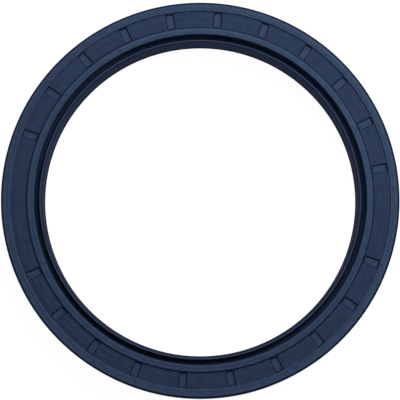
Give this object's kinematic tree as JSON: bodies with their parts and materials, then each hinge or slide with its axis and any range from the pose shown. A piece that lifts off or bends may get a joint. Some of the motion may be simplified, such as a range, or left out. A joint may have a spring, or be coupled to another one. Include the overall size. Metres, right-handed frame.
{
  "type": "radial shaft seal",
  "caption": "Rubber-covered radial shaft seal ring with a spring-loaded sealing lip, a dust lip and a ring of mould windows in its air-side face.",
  "frame": {"origin": "centre of the ring on the plane of its oil-side end face", "axes": "+Z along the shaft axis, from the oil side to the air side; +X and +Y across the ring, the windows are 15 degrees apart from 9.5 degrees on"},
  "size_m": [0.145, 0.145, 0.014],
  "materials": {
    "navy_rubber": "matt moulded nitrile rubber, dark navy blue",
    "case_steel": "deep-drawn steel sheet with a dull grey phosphate and bonding coat",
    "spring_steel": "bright drawn spring wire"
  },
  "bodies": {
    "root": {"rubber_body": "navy_rubber", "steel_case": "case_steel", "garter_spring": "spring_steel"}
  },
  "joints": []
}
